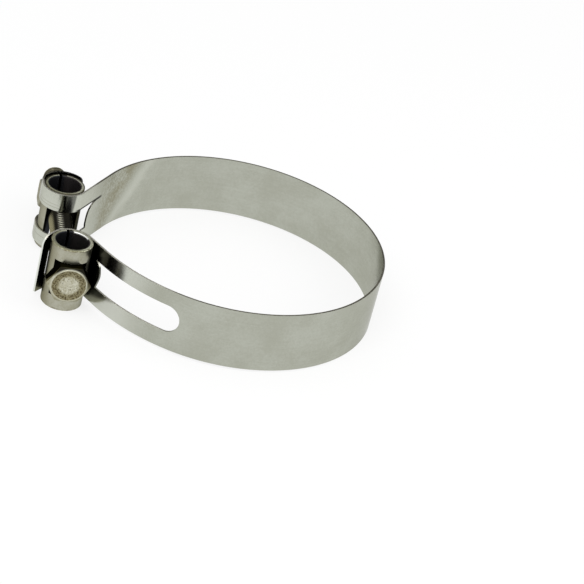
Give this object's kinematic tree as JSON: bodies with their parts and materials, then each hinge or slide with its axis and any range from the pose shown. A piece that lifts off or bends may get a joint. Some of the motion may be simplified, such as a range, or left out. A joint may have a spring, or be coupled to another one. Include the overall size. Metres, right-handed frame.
{
  "type": "heavy duty hose clamp",
  "caption": "Wide stainless band bent round a hose, its slotted ends hooked over rolled barrels that a hex bolt and nut draw together.",
  "frame": {"origin": "Centre of the hose, halfway up the band.", "axes": "+Z along the hose, +Y along the bolt from its head to the nut, +X away from the bolt across the ring."},
  "size_m": [0.1771, 0.152, 0.0344],
  "materials": {
    "band_steel": "satin rolled stainless strip",
    "barrel_steel": "tumbled stainless with cut edges",
    "fastener_steel": "dull stainless, head face rough from forging"
  },
  "bodies": {
    "band_body": {"band": "band_steel", "front_barrel": "barrel_steel"},
    "rear_barrel_body": {"rear_barrel": "barrel_steel"},
    "bolt_body": {"bolt": "fastener_steel"},
    "nut_body": {"nut": "fastener_steel"}
  },
  "joints": [
    {"name": "nut_turn", "type": "hinge", "parent": "band_body", "child": "nut_body", "pos_m": [-0.0869, 0.04615, -0.001], "axis": [0, 1, 0], "range_deg": [0, 720]},
    {"name": "bolt_travel", "type": "slide", "parent": "band_body", "child": "bolt_body", "axis": [0, -1, 0], "range_m": [0, 0.0035]},
    {"name": "rear_barrel_swivel", "type": "hinge", "parent": "band_body", "child": "rear_barrel_body", "pos_m": [-0.0869, 0.0272, 0], "axis": [0, 0, 1], "range_deg": [-3, 3]}
  ],
  "couplings": [
    {"joint": "nut_turn", "follows": "bolt_travel", "rad_per_m": 3590.4}
  ]
}
